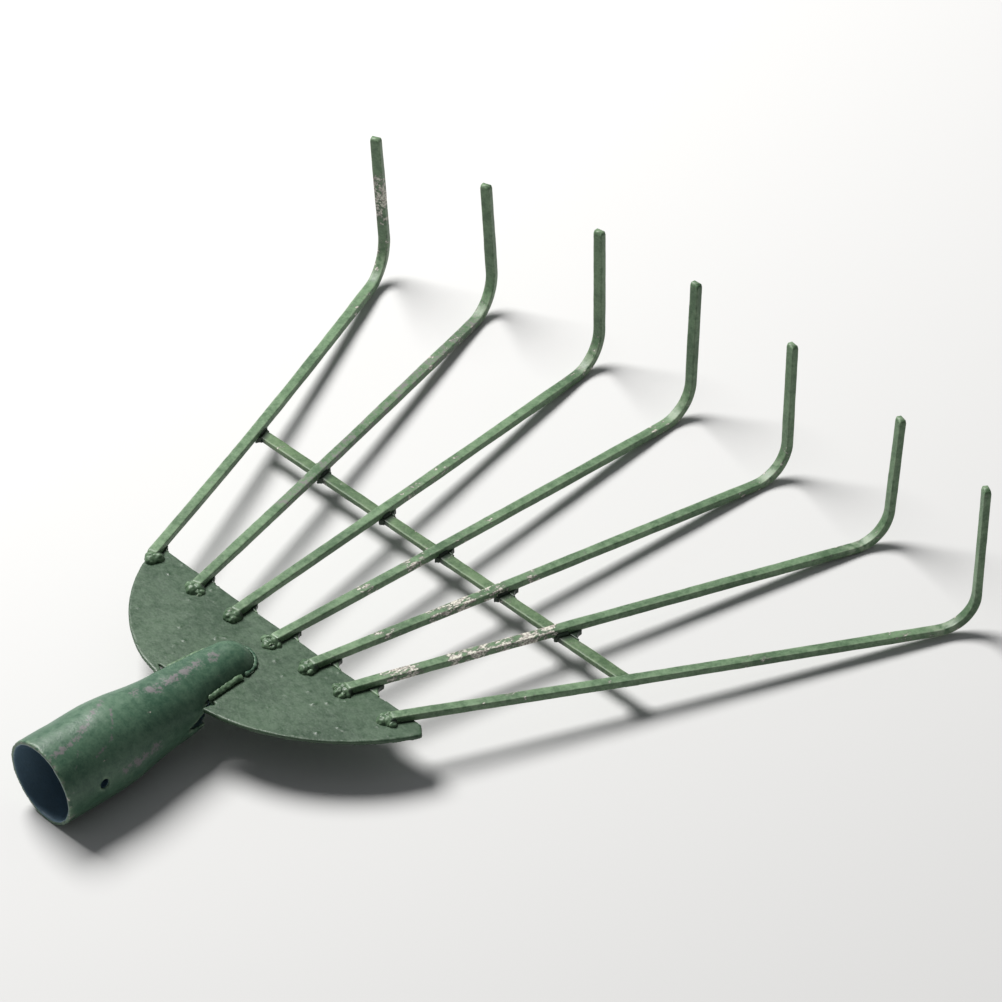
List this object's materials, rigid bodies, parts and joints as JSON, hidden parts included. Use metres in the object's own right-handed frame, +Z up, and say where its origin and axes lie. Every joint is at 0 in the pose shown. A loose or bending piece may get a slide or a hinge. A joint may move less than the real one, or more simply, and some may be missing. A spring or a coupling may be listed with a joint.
{
  "type": "rake head",
  "caption": "Welded steel fan rake head: a half-moon plate with a handle socket behind and flat-bar tines in front, tied by a crossbar, their ends bent up at right angles.",
  "frame": {"origin": "centre of the socket's mouth, on the socket's axis", "axes": "+Y along the socket from its mouth towards the tines, +Z up with the head lying on its back and its tines pointing up, +X to the right"},
  "size_m": [0.4029, 0.4053, 0.0836],
  "materials": {
    "socket_paint": "satin dark green paint, rubbed and scratched",
    "plate_paint": "satin green paint with spatter under it",
    "crossbar_paint": "satin green paint",
    "tine_paint": "satin green paint, chipped to bare steel",
    "weld_paint": "satin green paint over rough weld"
  },
  "bodies": {
    "root": {"socket": "socket_paint", "plate": "plate_paint", "crossbar": "crossbar_paint", "tine_1": "tine_paint", "tine_2": "tine_paint", "tine_3": "tine_paint", "tine_4": "tine_paint", "tine_5": "tine_paint", "tine_6": "tine_paint", "tine_7": "tine_paint", "root_weld_1": "weld_paint", "root_weld_2": "weld_paint", "root_weld_3": "weld_paint", "root_weld_4": "weld_paint", "root_weld_5": "weld_paint", "root_weld_6": "weld_paint", "root_weld_7": "weld_paint", "crossbar_weld_1": "weld_paint", "crossbar_weld_2": "weld_paint", "crossbar_weld_3": "weld_paint", "crossbar_weld_4": "weld_paint", "crossbar_weld_5": "weld_paint", "crossbar_weld_6": "weld_paint", "crossbar_weld_7": "weld_paint", "socket_weld_left": "weld_paint", "socket_weld_right": "weld_paint", "socket_weld_nose": "weld_paint", "socket_weld_under": "weld_paint"}
  },
  "joints": []
}
